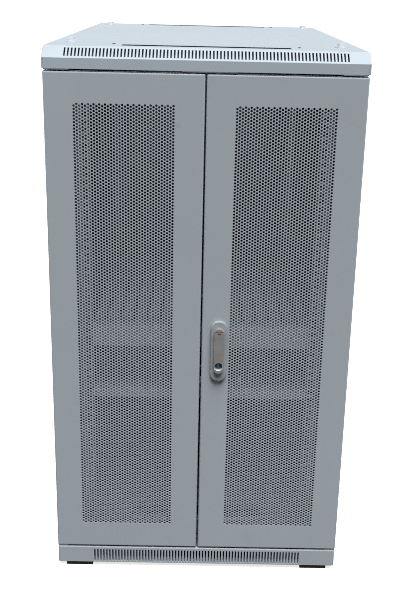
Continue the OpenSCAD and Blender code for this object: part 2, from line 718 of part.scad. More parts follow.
// block behind the skin with a passage round one rod
module rod_guide(x, rod_y, back, z) {
    difference() {
        box(x - 8, x + 8, front + sheet, back, z, z + 14);
        box(x - rod_half - 0.2, x + rod_half + 0.2, rod_y - 0.2, rod_y + rod_t + 0.2,
            z - 1, z + 15);
    }
}
module rod_guides(mid) color(dark) {
    for (z = [door_hi - 60, spindle_z + 150])
        rod_guide(mid - rod_throw, upper_rod_y, front + 19.5, z);
    for (z = [door_lo + 46, spindle_z - 170])
        rod_guide(mid + rod_throw, lower_rod_y, front + 20, z);
}
module lock_housing_front() { lock_housing(lock_x); }
module lock_spindle_front() { lock_spindle(lock_x); }
module lever_front() { lever(lock_x); }
module lever_pin_front() { lever_pin(lock_x); }
module lever_head_front() { lever_head(lock_x); }
module key_core_front() { key_core(lock_x); }
module lock_rod_upper_front() { lock_rod_upper(lock_x); }
module lock_rod_lower_front() { lock_rod_lower(lock_x); }
module rod_guides_front() { rod_guides(lock_x); }
module lock_housing_rear() { turned() lock_housing(rear_lock_x); }
module lock_spindle_rear() { turned() lock_spindle(rear_lock_x); }
module lever_rear() { turned() lever(rear_lock_x); }
module lever_pin_rear() { turned() lever_pin(rear_lock_x); }
module lever_head_rear() { turned() lever_head(rear_lock_x); }
module key_core_rear() { turned() key_core(rear_lock_x); }
module lock_rod_upper_rear() { turned() lock_rod_upper(rear_lock_x); }
module lock_rod_lower_rear() { turned() lock_rod_lower(rear_lock_x); }
module rod_guides_rear() { turned() rod_guides(rear_lock_x); }

base_frame();
floor_panel();
corner_post_front_left();
corner_post_front_right();
corner_post_rear_left();
corner_post_rear_right();
top_frame();
roof_cover();
roof_washers();
roof_bolts();
depth_beams();
rail_front_left();
rail_front_right();
rail_rear_left();
rail_rear_right();
shelf_upper();
shelf_lower();
shelf_screws();
fan_tray();
fan_frame_left();
fan_frame_right();
fan_guards();
fan_lead();
hinge_brackets();
hinge_pins();
lock_keepers();
fan_rotor_left();
fan_rotor_right();
foot_front_left();
foot_front_right();
foot_rear_left();
foot_rear_right();
side_panel_left();
side_panel_right();
side_lock_left();
side_lock_right();
door_front_left();
bolt_guides();
slide_bolt_upper();
slide_bolt_lower();
door_front_right();
lock_housing_front();
lock_spindle_front();
lever_front();
lever_pin_front();
lever_head_front();
key_core_front();
lock_rod_upper_front();
lock_rod_lower_front();
rod_guides_front();
door_rear();
lock_housing_rear();
lock_spindle_rear();
lever_rear();
lever_pin_rear();
lever_head_rear();
key_core_rear();
lock_rod_upper_rear();
lock_rod_lower_rear();
rod_guides_rear();
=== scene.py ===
"""A floor-standing steel equipment cabinet with a roof cover and a base frame.

It stands on z = 0 with +Z up, in metres. The front faces -Y and has two perforated leaves, left
at -X and right at +X. The rear faces +Y and has one plain leaf. The front right leaf and the rear
leaf carry swing handles.
"""
import json
import math
import bmesh
import bpy
import numpy as np
from mathutils import Matrix, Vector
from mathutils.geometry import delaunay_2d_cdt


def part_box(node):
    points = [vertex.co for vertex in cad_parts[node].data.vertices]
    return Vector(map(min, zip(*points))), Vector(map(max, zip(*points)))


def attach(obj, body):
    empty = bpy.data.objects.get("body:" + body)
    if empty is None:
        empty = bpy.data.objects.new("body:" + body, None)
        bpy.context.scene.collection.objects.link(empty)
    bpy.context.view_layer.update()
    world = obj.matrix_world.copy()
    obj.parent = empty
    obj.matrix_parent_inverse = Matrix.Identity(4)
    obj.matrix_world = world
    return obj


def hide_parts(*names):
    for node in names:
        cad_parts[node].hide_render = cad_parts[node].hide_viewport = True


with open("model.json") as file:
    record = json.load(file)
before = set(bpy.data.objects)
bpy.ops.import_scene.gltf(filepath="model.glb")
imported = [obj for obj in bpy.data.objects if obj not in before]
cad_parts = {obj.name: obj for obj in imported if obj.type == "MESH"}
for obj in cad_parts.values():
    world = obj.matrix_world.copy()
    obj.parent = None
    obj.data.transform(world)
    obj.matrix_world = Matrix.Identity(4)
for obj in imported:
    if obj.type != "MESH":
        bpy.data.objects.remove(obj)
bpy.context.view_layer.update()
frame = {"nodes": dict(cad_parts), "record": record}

MM = 0.001
scene = bpy.context.scene
nodes = frame["nodes"]
bodies = frame["record"]["behaviour"]["bodies"]
node_body = {node: body for body, members in bodies.items() for node in members}
node_slot = {part["node"]: part["material_slot"] for part in frame["record"]["subparts"]}

# The key holes in the two swing handles, which share one height
KEY_X = {"front": 0.036, "rear": 0.2657}
KEY_Z = 0.486


# ---------------------------------------------------------------- material nodes
def scaled(colour, factor):
    return tuple(min(1.0, channel * factor) for channel in colour)


class Net:
    """A material's node tree. Its calls take numbers or sockets and return an output socket."""

    def __init__(self, name):
        self.material = bpy.data.materials.new(name)
        self.material.use_nodes = True
        self.tree = self.material.node_tree
        self.shader = self.tree.nodes["Principled BSDF"]
        self.coords = self.add("ShaderNodeTexCoord").outputs["Object"]

    def add(self, kind, **props):
        node = self.tree.nodes.new(kind)
        for key, value in props.items():
            setattr(node, key, value)
        return node

    def put(self, socket, value):
        if isinstance(value, bpy.types.NodeSocket):
            self.tree.links.new(value, socket)
        else:
            socket.default_value = value

    def surface(self, name, value):
        self.put(self.shader.inputs[name], value)

    def math(self, operation, first, second=0.0, clamp=False):
        node = self.add("ShaderNodeMath", operation=operation, use_clamp=clamp)
        self.put(node.inputs[0], first)
        self.put(node.inputs[1], second)
        return node.outputs[0]

    def span(self, value, start, end, low=0.0, high=1.0):
        """Maps start..end to low..high."""
        node = self.add("ShaderNodeMapRange")
        for i, item in enumerate((value, start, end, low, high)):
            self.put(node.inputs[i], item)
        return node.outputs[0]

    def noise(self, scale, detail=2.0, rough=0.5, stretch=None):
        coords = self.coords
        if stretch:
            mapping = self.add("ShaderNodeMapping")
            self.put(mapping.inputs["Vector"], coords)
            mapping.inputs["Scale"].default_value = stretch
            coords = mapping.outputs[0]
        node = self.add("ShaderNodeTexNoise")
        self.put(node.inputs["Vector"], coords)
        node.inputs["Scale"].default_value = scale
        node.inputs["Detail"].default_value = detail
        node.inputs["Roughness"].default_value = rough
        return node.outputs[0]

    def clouds(self, scale, detail, start=0.3, end=0.7, low=0.0, high=1.0, rough=0.5):
        """Noise with start..end mapped to low..high."""
        return self.span(self.noise(scale, detail, rough), start, end, low, high)

    def voronoi(self, scale, output):
        node = self.add("ShaderNodeTexVoronoi")
        self.put(node.inputs["Vector"], self.coords)
        node.inputs["Scale"].default_value = scale
        return node.outputs[output]

    def mix(self, factor, first, second, blend="MIX"):
        node = self.add("ShaderNodeMix", data_type="RGBA", blend_type=blend)
        self.put(node.inputs[0], factor)
        for i, colour in ((6, first), (7, second)):
            is_socket = isinstance(colour, bpy.types.NodeSocket)
            self.put(node.inputs[i], colour if is_socket else (*colour, 1.0))
        return node.outputs[2]

    def bump(self, height, strength, distance, normal=None):
        node = self.add("ShaderNodeBump")
        self.put(node.inputs["Height"], height)
        node.inputs["Strength"].default_value = strength
        node.inputs["Distance"].default_value = distance
        if normal:
            self.put(node.inputs["Normal"], normal)
        return node.outputs[0]

    def xyz(self, vector=None):
        """The three parts of a vector, or of the object coordinates."""
        node = self.add("ShaderNodeSeparateXYZ")
        self.put(node.inputs[0], vector or self.coords)
        return node.outputs

    def edges(self, radius):
        """1 on outer and inner edges, 0 on flats: rubbed edges, which the coats also use as a
        painted highlight.
        """
        bevel = self.add("ShaderNodeBevel", samples=4)
        bevel.inputs["Radius"].default_value = radius
        geometry = self.add("ShaderNodeNewGeometry")
        dot = self.add("ShaderNodeVectorMath", operation="DOT_PRODUCT")
        self.put(dot.inputs[0], bevel.outputs[0])
        self.put(dot.inputs[1], geometry.outputs["Normal"])
        return self.span(dot.outputs["Value"], start=0.995, end=0.86)

    def rub_edges(self, tone, rubbed, radius, amount):
        return self.mix(self.math("MULTIPLY", self.edges(radius), amount), tone, rubbed)

    def near(self, point, radius):
        """1 close to the point, falling to 0 at the radius."""
        distance = self.add("ShaderNodeVectorMath", operation="DISTANCE")
        self.put(distance.inputs[0], self.coords)
        distance.inputs[1].default_value = point
        return self.span(distance.outputs["Value"], start=radius, end=radius * 0.3)

    def inside(self, low, high):
        """1 inside the box from low to high, 0 outside it. None leaves an axis open."""
        parts = self.xyz()
        result = None
        for i in range(3):
            if low[i] is None:
                continue
            within = self.math("COMPARE", parts[i], (low[i] + high[i]) / 2)
            within.node.inputs[2].default_value = (high[i] - low[i]) / 2
            result = within if result is None else self.math("MULTIPLY", result, within)
        return result


# ---------------------------------------------------------------- materials
BODY_INSIDE = (-0.2992, -0.436, 0.05), (0.2992, 0.4992, 1.07)


def coat(name, base, rough, edge_lightening, reach=0.0011, smudges=(), dark=()):
    """Satin powder coat: soft clouds of tone, specks, lighter rubbed edges, painted shade in the
    corners and painted shade deep inside the body.

    The two numbers after rough are the strength and width of the lighter rubbed edges, which
    are partly wear and partly a painted highlight along the folds. smudges are (point, radius,
    strength) and dark is a list of boxes painted nearly black as shade."""
    net = Net(name)
    tone = net.mix(net.clouds(1.7, detail=3), scaled(base, 0.965), scaled(base, 1.03))
    patches = net.clouds(23.0, detail=4, start=0.45, end=0.75, rough=0.6)
    tone = net.mix(net.math("MULTIPLY", patches, 0.25, clamp=True), tone, scaled(base, 0.93))
    specks = net.clouds(1400.0, detail=1, start=0.66, end=0.74)
    tone = net.mix(net.math("MULTIPLY", specks, 0.10), tone, scaled(base, 0.75))

    # wear and painted highlight: edges are painted lighter, partly as rubbed paint and partly as
    # the highlight along the folds
    edge = net.edges(reach)
    breaks = net.clouds(60.0, detail=3, start=0.35, end=0.65, low=0.55)
    worn_and_highlit = net.math("MULTIPLY", edge, breaks)
    tone = net.mix(net.math("MULTIPLY", worn_and_highlit, edge_lightening), tone, scaled(base, 1.32))
    for point, radius, strength in smudges:
        blot = net.math("MULTIPLY", net.near(point, radius), net.clouds(140.0, detail=4, low=0.4))
        tone = net.mix(net.math("MULTIPLY", blot, strength), tone, scaled(base, 0.62))

    # painted shade: the coat is darkened where ambient occlusion finds corners, creases and gaps
    occlusion = net.add("ShaderNodeAmbientOcclusion", samples=4)
    occlusion.inputs["Distance"].default_value = 0.012
    corner_shade = net.span(occlusion.outputs["AO"], start=0.95, end=0.35, high=0.28)
    tone = net.mix(corner_shade, tone, scaled(base, 0.5))
    # painted shade: these boxes are painted nearly black
    for low, high in dark:
        tone = net.mix(net.inside(low, high), tone, scaled(base, 0.05))

    # painted shade: inside the body the coat is darkened, fading in behind the front rails
    y = net.xyz()[1]
    interior_shade = net.math("MULTIPLY", net.inside(*BODY_INSIDE), net.span(y, start=-0.437, end=-0.40))
    tone = net.mix(interior_shade, tone, (0.36, 0.36, 0.36), "MULTIPLY")
    net.surface("Base Color", tone)
    dull = net.clouds(35.0, detail=3, low=rough - 0.05, high=rough + 0.08)
    net.surface("Roughness", net.math("SUBTRACT", dull, net.math("MULTIPLY", worn_and_highlit, 0.08)))
    net.surface("Specular IOR Level", 0.45)
    peel = net.bump(net.noise(620.0, detail=3, rough=0.6), strength=0.05, distance=0.00025)
    net.surface("Normal", net.bump(net.noise(70.0), strength=0.05, distance=0.0006, normal=peel))
    return net.material


def plated(name, base, rough, spangle, metallic=0.85, bands=()):
    """Zinc plate: fine crystal tone, brighter rubbed edges.

    spangle is the contrast of the crystals. bands are (low, high, colour) boxes."""
    net = Net(name)
    cell = net.voronoi(420.0, "Color")
    split = net.add("ShaderNodeSeparateColor")
    net.put(split.inputs[0], cell)
    tone = net.mix(net.math("MULTIPLY", split.outputs[0], spangle), base, scaled(base, 0.80))
    stain = scaled((base[0] * 0.96, base[1] * 0.97, base[2]), 0.82)
    tone = net.mix(net.clouds(9.0, detail=4, start=0.45, end=0.72, high=0.35), tone, stain)
    tone = net.rub_edges(tone, scaled(base, 1.25), radius=0.0006, amount=0.5)
    for low, high, colour in bands:
        tone = net.mix(net.inside(low, high), tone, colour)
    net.surface("Base Color", tone)
    net.surface("Metallic", metallic)
    streak = net.noise(160.0, detail=3, rough=0.6, stretch=(1, 1, 1))
    net.surface("Roughness", net.span(streak, 0.3, 0.7, low=rough - 0.06, high=rough + 0.12))
    net.surface("Normal", net.bump(streak, strength=0.06, distance=0.0002))
    return net.material


def cast(name, base, rough, rubbed, rim_highlights=()):
    """Painted die casting: low lumps, fine skin, edges rubbed bright.

    The last argument lists (x, z, radius) rounds, seen along Y, painted near white as a highlight
    on bare metal."""
    net = Net(name)
    tone = net.mix(net.clouds(45.0, detail=4), scaled(base, 0.90), scaled(base, 1.08))
    tone = net.rub_edges(tone, scaled(base, rubbed), radius=0.0009, amount=0.55)
    for x, z, radius in rim_highlights:
        parts = net.xyz()
        squares = []
        for part, centre in ((parts[0], x), (parts[2], z)):
            away = net.math("ABSOLUTE", net.math("SUBTRACT", part, centre))
            squares.append(net.math("POWER", away, 2.0))
        # painted highlight: the rounds are painted near white
        within = net.math("LESS_THAN", net.math("ADD", *squares), radius * radius)
        tone = net.mix(within, tone, (0.86, 0.87, 0.89))
    net.surface("Base Color", tone)
    net.surface("Roughness", net.clouds(90.0, detail=3, low=rough - 0.06, high=rough + 0.1))
    skin = net.bump(net.noise(900.0), strength=0.10, distance=0.0002)
    net.surface("Normal", net.bump(net.noise(60.0), strength=0.08, distance=0.0004, normal=skin))
    return net.material


def plastic(name, base, rough, rubbed):
    """Moulded plastic: spark-eroded skin, faint flow tone, scuffed edges, dust on top."""
    net = Net(name)
    tone = net.mix(net.clouds(30.0, detail=4), scaled(base, 0.85), scaled(base, 1.15))
    tone = net.rub_edges(tone, scaled(base, rubbed), radius=0.0005, amount=0.5)
    upward = net.xyz(net.add("ShaderNodeNewGeometry").outputs["Normal"])[2]
    settled = net.span(upward, start=0.4, end=1.0, high=0.25)
    dust = net.math("MULTIPLY", settled, net.clouds(55.0, detail=3, start=0.35))
    tone = net.mix(dust, tone, (0.25, 0.25, 0.25))
    net.surface("Base Color", tone)
    net.surface("Roughness", net.clouds(80.0, detail=3, low=rough - 0.08, high=rough + 0.1))
    skin = net.voronoi(1500.0, "Distance")
    net.surface("Normal", net.bump(skin, strength=0.12, distance=0.00015))
    return net.material


GREY = (0.525, 0.592, 0.645)
# painted light: the roof has the doors' paint, drawn lighter because its top catches more light
ROOF_LIT = (0.557, 0.641, 0.708)
SMUDGES = (((-0.0516, -0.5, 0.9636), 0.008, 0.35), ((0.11, -0.5, 0.083), 0.02, 0.12))
# painted shade: the walls of the cable slots in the roof are painted nearly black for the shadow
# in them
SLOT_SHADE = [((-0.1612, y - 0.0176, 1.1005), (0.1612, y + 0.0176, 1.10285))
              for y in (-0.428, 0.428)]
# painted highlight: near-white rims round the key holes, standing for the shine of their bare
# metal; and an upright band across each key core
KEY_RIM_HIGHLIGHTS = [(x, KEY_Z, 0.0089) for x in KEY_X.values()]
KEY_BANDS = [((x - 0.0017, None, KEY_Z - 0.0045), (x + 0.0017, None, KEY_Z + 0.0045),
              (0.10, 0.30, 0.42)) for x in KEY_X.values()]

mats = {
    "powder_coat": coat("powder_coat", GREY, rough=0.40, edge_lightening=0.6, reach=0.0024,
                        smudges=SMUDGES),
    "frame_coat": coat("frame_coat", scaled(GREY, 0.92), rough=0.46, edge_lightening=0.30),
    "zinc": plated("zinc", (0.66, 0.67, 0.69), rough=0.34, spangle=0.20),
    "bright_zinc": plated("bright_zinc", (0.90, 0.93, 0.97), rough=0.35, spangle=0.08,
                          metallic=0.2),
    "shutter": plated("shutter", (0.25, 0.58, 0.72), rough=0.30, spangle=0.10, metallic=0.1),
    "roof_coat_lit": coat("roof_coat_lit", ROOF_LIT, rough=0.40, edge_lightening=0.35, dark=SLOT_SHADE),
    "lock_body": cast("lock_body", (0.43, 0.475, 0.50), rough=0.45, rubbed=1.3),
    "lever": cast("lever", (0.34, 0.332, 0.315), rough=0.50, rubbed=1.35, rim_highlights=KEY_RIM_HIGHLIGHTS),
    "key_core": plated("key_core", (0.045, 0.075, 0.13), rough=0.30, spangle=0.10,
                       metallic=0.3, bands=KEY_BANDS),
    "black_plastic": plastic("black_plastic", (0.022, 0.022, 0.024), rough=0.5, rubbed=2.2),
    "guide_plastic": plastic("guide_plastic", (0.035, 0.035, 0.04), rough=0.45, rubbed=2.0),
    "lead_plastic": plastic("lead_plastic", (0.46, 0.48, 0.51), rough=0.42, rubbed=1.15),
    "foot_steel": plated("foot_steel", (0.085, 0.085, 0.075), rough=0.45, spangle=0.24),
}
node_mat = dict(node_slot)
node_mat["roof_bolts"] = node_mat["roof_washers"] = "bright_zinc"
node_mat["roof_cover"] = "roof_coat_lit"
for end in ("front", "rear"):
    node_mat["lock_spindle_" + end] = node_mat["lever_pin_" + end] = "lever"


# ---------------------------------------------------------------- mesh tools
def triangles(outline, holes):
    """Triangles that fill a 2D outline less its convex holes.

    They index the outline's points, followed by the points of each hole."""
    points, edges, owner = [], [], []
    for number, loop in enumerate([outline, *holes]):
        start, count = len(points), len(loop)
        points += [Vector(point) for point in loop]
        edges += [(start + i, start + (i + 1) % count) for i in range(count)]
        owner += [number] * count
    result = delaunay_2d_cdt(points, edges, [], 1, 1e-8)
    source = [origins[0] for origins in result[3]]
    kept = []
    for face in result[2]:
        face = [source[i] for i in face]
        owners = {owner[i] for i in face}
        # a face whose corners all belong to one hole lies inside that hole
        if len(owners) > 1 or 0 in owners:
            kept.append(face)
    return kept


class Sheet:
    """Vertices and faces of one piece while it is being built, in metres."""

    def __init__(self):
        self.verts, self.faces = [], []

    def ring(self, points):
        start = len(self.verts)
        self.verts.extend(points)
        return list(range(start, start + len(points)))

    def strip(self, a, b, skip=()):
        """Joins two rings of one part of the surface, less the skipped segments."""
        n = len(a)
        for k in range(n):
            if k not in skip:
                self.faces.append((a[k], b[k], b[(k + 1) % n], a[(k + 1) % n]))

    def wall(self, a, b):
        """Lines a hole between its rings in two skins."""
        n = len(a)
        for k in range(n):
            self.faces.append((a[k], a[(k + 1) % n], b[(k + 1) % n], b[k]))

    def lathe(self, x, y, profile, n=24):
        """Turns profile, (radius, z) from axis to axis, about the upright line at (x, y)."""
        rings = []
        for radius, z in profile:
            if radius < 1e-9:
                rings.append(self.ring([(x, y, z)]) * n)
                continue
            angles = [2 * math.pi * k / n for k in range(n)]
            rings.append(self.ring([(x + radius * math.cos(angle), y + radius * math.sin(angle), z)
                                    for angle in angles]))
        for a, b in zip(rings, rings[1:]):
            for k in range(n):
                j = (k + 1) % n
                # a quad that touches the axis drops its repeated corner
                face = tuple(dict.fromkeys((a[k], a[j], b[j], b[k])))
                if len(face) > 2:
                    self.faces.append(face)

    def box(self, x_range, y_range, z_range, chamfer):
        """A box with small chamfers on all its edges."""
        ranges = (x_range, y_range, z_range)
        # three points at each corner, each one kept on the edge line of its own axis's offset
        points = {}
        for corner in ((i, j, k) for i in (0, 1) for j in (0, 1) for k in (0, 1)):
            for axis in range(3):
                point = [ranges[i][corner[i]]
                         + (0 if i == axis else (-chamfer if corner[i] else chamfer))
                         for i in range(3)]
                points[(corner, axis)] = self.ring([tuple(point)])[0]

        def corner_at(axis, side, others, a, b):
            corner = [0, 0, 0]
            corner[axis], corner[others[0]], corner[others[1]] = side, a, b
            return tuple(corner)

        across = [[i for i in range(3) if i != axis] for axis in range(3)]
        for axis, others in enumerate(across):
            for side in (0, 1):
                self.faces.append(tuple(points[(corner_at(axis, side, others, a, b), axis)]
                                        for a, b in ((0, 0), (1, 0), (1, 1), (0, 1))))
        for axis, others in enumerate(across):
            for a in (0, 1):
                for b in (0, 1):
                    start = corner_at(axis, 0, others, a, b)
                    stop = corner_at(axis, 1, others, a, b)
                    self.faces.append((points[(start, others[0])], points[(start, others[1])],
                                       points[(stop, others[1])], points[(stop, others[0])]))
        for corner in {key[0] for key in points}:
            self.faces.append(tuple(points[(corner, i)] for i in range(3)))

    def patch(self, corners, outline, holes, place):
        """Fills the corners, which lie at outline in 2D, less the holes.

        place maps a 2D point to 3D. Returns the rings of the holes."""
        loops = [self.ring([place(point) for point in hole]) for hole in holes]
        ids = corners + sum(loops, [])
        for face in triangles(outline, holes):
            self.faces.append(tuple(ids[i] for i in face))
        return loops


def add_object(name, data):
    obj = bpy.data.objects.new(name, data)
    scene.collection.objects.link(obj)
    return obj


def piece(name, sheet, node, mat=None, stands=True):
    """Makes sheet an object that rides with node's body, and stands for node or adds to it."""
    mesh = bpy.data.meshes.new(name)
    mesh.from_pydata(sheet.verts, [], sheet.faces)
    bm = bmesh.new()
    bm.from_mesh(mesh)
    bmesh.ops.recalc_face_normals(bm, faces=bm.faces)
    bm.to_mesh(mesh)
    bm.free()
    mesh.shade_smooth()
    mesh.set_sharp_from_angle(angle=math.radians(38))
    obj = add_object(name, mesh)
    mesh.materials.append(mats[mat or node_mat[node]])
    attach(obj, node_body[node])
    if stands:
        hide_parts(node)


def circle(x, z, radius, n=8):
    angles = [(k + 0.5) * 2 * math.pi / n for k in range(n)]
    return [(x + radius * math.cos(angle), z + radius * math.sin(angle)) for angle in angles]


def rectangle(x0, x1, z0, z1):
    return [(x0, z0), (x1, z0), (x1, z1), (x0, z1)]


# ---------------------------------------------------------------- door leaves
SKIN = 1.2 * MM        # sheet thickness
FOLD = 2.9 * MM        # outer radius of the fold at the skin
BACK_FOLD = 0.0024     # outer radius of the fold from the return to the lip
LIP = 14 * MM          # width of the lip
HOLD = 0.0006          # flat strip of skin beside the fold
CORNER = 0.0022        # radius of the leaf's corners
LEAST_CORNER = 0.0003
FOLD_STEPS, CORNER_STEPS = 4, 3

HOLE_RADIUS, COLUMN_PITCH, ROW_PITCH = 2.5 * MM, 5.27 * MM, 6.08 * MM
COLUMNS, ROWS = 36, 146
FIELD_MARGIN = 2.2 * MM   # from the corner of the field to its first hole
FIELD_RISE = 60.2 * MM    # from the foot of the leaf to the field

PIN_INSET, PIN_DEPTH = 8.7 * MM, 12 * MM   # hinge pin, from the side edge and from the skin
PIN_HOLE = 3.1 * MM
ROD_X, ROD_DEPTH, ROD_HOLE = -24 * MM, 14 * MM - 0.3 * MM, 3.9 * MM   # round holes, left leaf
SLOT_OFFSET, SLOT_HALF = 12 * MM, 5.5 * MM   # slots in the returns, from the lock's centre
SLOT_NEAR, SLOT_FAR = 14.2 * MM, 17.5 * MM   # and from the skin
LOCK_HALF = 11 * MM        # half the width of the opening behind the lock
LOCK_MARGIN = 11 * MM      # from the ends of the lock housing to that opening


def rounded_outline(x0, x1, z0, z1, inset):
    radius = max(CORNER - inset, LEAST_CORNER)
    x0, x1, z0, z1 = x0 + inset, x1 - inset, z0 + inset, z1 - inset
    centres = rectangle(x0 + radius, x1 - radius, z0 + radius, z1 - radius)
    outline = []
    for (x, z), start in zip(centres, (180, 270, 0, 90)):
        for k in range(CORNER_STEPS + 1):
            angle = math.radians(start + 90 * k / CORNER_STEPS)
            outline.append((x + radius * math.cos(angle), z + radius * math.sin(angle)))
    return outline


def rim_section(depth):
    """Section of the rim as (inset, depth): skin, return, lip, and back along the inside.

    Also gives the places in it where the return's outer and inner flats start."""
    quarter = np.linspace(0, math.pi / 2, FOLD_STEPS + 1)
    edge = SKIN * 0.3
    section = [(FOLD + HOLD, 0)]
    section += [(FOLD - FOLD * math.sin(a), FOLD - FOLD * math.cos(a)) for a in quarter]
    outer_flat = len(section) - 1
    section += [(BACK_FOLD - BACK_FOLD * math.cos(a), depth - BACK_FOLD + BACK_FOLD * math.sin(a))
                for a in quarter]
    section += [(LIP - edge, depth), (LIP, depth - edge),
                (LIP, depth - SKIN + edge), (LIP - edge, depth - SKIN)]
    inner = BACK_FOLD - SKIN
    section += [(BACK_FOLD - inner * math.cos(a), depth - BACK_FOLD + inner * math.sin(a))
                for a in quarter[::-1]]
    inner_flat = len(section) - 1
    inner = FOLD - SKIN
    section += [(FOLD - inner * math.sin(a), FOLD - inner * math.cos(a)) for a in quarter[::-1]]
    section.append((FOLD + HOLD, SKIN))
    return section, (outer_flat, inner_flat)


def pan(sheet, box, depth, skin_holes, low_holes, high_holes, place):
    """A folded pan over box, (x0, x1, z0, z1), with holes in its skin as (x, z) loops and in
    its bottom and top returns as (x, depth) loops. place maps (x, depth, z) to 3D."""
    section, flats = rim_section(depth)
    outlines = [rounded_outline(*box, inset) for inset, _ in section]
    rings = [sheet.ring([place(x, back, z) for x, z in outline])
             for outline, (_, back) in zip(outlines, section)]
    # the outline's segments along the bottom and the top
    bottom, top = CORNER_STEPS, 3 * CORNER_STEPS + 2
    for k in range(len(rings) - 1):
        sheet.strip(rings[k], rings[k + 1], (bottom, top) if k in flats else ())
    for side, holes in ((bottom, low_holes), (top, high_holes)):
        loops = []
        for k in flats:
            a, b = rings[k], rings[k + 1]
            (x_start, z), (x_stop, _) = outlines[k][side:side + 2]
            near, far = section[k][1], section[k + 1][1]
            loops.append(sheet.patch(
                [a[side], b[side], b[side + 1], a[side + 1]],
                [(x_start, near), (x_start, far), (x_stop, far), (x_stop, near)],
                holes, lambda point: place(point[0], point[1], z)))
        for outer, inner in zip(*loops):
            sheet.wall(outer, inner)

    hole_points = [point for hole in skin_holes for point in hole]
    front = rings[0] + sheet.ring([place(x, 0.0, z) for x, z in hole_points])
    rear = rings[-1] + sheet.ring([place(x, SKIN, z) for x, z in hole_points])
    for face in triangles(outlines[0], skin_holes):
        sheet.faces.append(tuple(front[i] for i in face))
        sheet.faces.append(tuple(rear[i] for i in reversed(face)))
    start = len(outlines[0])
    for hole in skin_holes:
        stop = start + len(hole)
        sheet.wall(front[start:stop], rear[start:stop])
        start = stop


def perforation(left, bottom):
    """Staggered columns: every other one is longer by half a row at each end."""
    holes = []
    for i in range(COLUMNS):
        longer = i % 2
        for k in range(ROWS + longer):
            holes.append(circle(left + FIELD_MARGIN + i * COLUMN_PITCH,
                                bottom + FIELD_MARGIN + (k - 0.5 * longer) * ROW_PITCH,
                                HOLE_RADIUS))
    return holes


def hinge_bushes(sheet, x, y, bottom, top):
    """A blind bush at each end of the leaf's hinge edge."""
    for end_z, inward in ((bottom, 1), (top, -1)):
        mouth = end_z + inward * 0.2 * MM
        base = end_z + inward * 16 * MM
        floor_z = mouth + inward * 15 * MM
        rim = inward * 0.4 * MM
        sheet.lathe(x, y, [(0, floor_z), (3.05 * MM, floor_z), (3.05 * MM, mouth),
                           (6.6 * MM, mouth), (7 * MM, mouth + rim),
                           (7 * MM, base - rim), (6.6 * MM, base), (0, base)])


def door_leaf(name, node, facing, hinge_left=False, field_left=None, lock=None):
    """A leaf laid out as seen from outside: facing is 1 for the front and -1 for the rear."""
    low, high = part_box(node)
    skin_y = low.y if facing > 0 else high.y
    left, right = sorted((facing * low.x, facing * high.x))

    def place(x, depth, z):
        return (facing * x, skin_y + facing * depth, z)

    pin_x = left + PIN_INSET if hinge_left else right - PIN_INSET
    low_holes = [circle(pin_x, PIN_DEPTH, PIN_HOLE, 16)]
    high_holes = list(low_holes)
    skin_holes = []
    if field_left is not None:
        skin_holes += perforation(field_left, low.z + FIELD_RISE)
    if lock:
        lock_low, lock_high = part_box(lock)
        centre = facing * (lock_low.x + lock_high.x) / 2
        skin_holes.append(rectangle(centre - LOCK_HALF, centre + LOCK_HALF,
                                    lock_low.z + LOCK_MARGIN, lock_high.z - LOCK_MARGIN))
        for holes, x in ((high_holes, centre - SLOT_OFFSET), (low_holes, centre + SLOT_OFFSET)):
            holes.append(rectangle(x - SLOT_HALF, x + SLOT_HALF, SLOT_NEAR, SLOT_FAR))
    else:
        for holes in (low_holes, high_holes):
            holes.append(circle(ROD_X, ROD_DEPTH, ROD_HOLE, 12))
    sheet = Sheet()
    pan(sheet, (left, right, low.z, high.z), high.y - low.y, skin_holes,
        low_holes, high_holes, place)
    hinge_x, hinge_y, _ = place(pin_x, PIN_DEPTH, 0)
    hinge_bushes(sheet, hinge_x, hinge_y, low.z, high.z)
    piece(name, sheet, node)


door_leaf("leaf_pan_left", "door_front_left", 1, hinge_left=True, field_left=-246 * MM)
door_leaf("leaf_pan_right", "door_front_right", 1, field_left=56.5 * MM,
          lock="lock_housing_front")
door_leaf("leaf_pan_rear", "door_rear", -1, lock="lock_housing_rear")


# ---------------------------------------------------------------- CAD parts with rounded folds
FINE = 0.0002              # width of the small breaks on the other edges
NARROW, SHORT = 0.0026, 0.03   # faces and edges below these sizes aren't folds


def weighted_normals(obj, keep_sharp):
    modifier = obj.modifiers.new("normals", "WEIGHTED_NORMAL")
    modifier.keep_sharp = keep_sharp
    modifier.weight = 80


def strip_width(face):
    return face.calc_area() / max(sum(edge.calc_length() for edge in face.edges) / 2, 1e-9)


def is_long_fold(edge):
    return (edge.calc_length() > SHORT
            and min(strip_width(face) for face in edge.link_faces) >= NARROW)


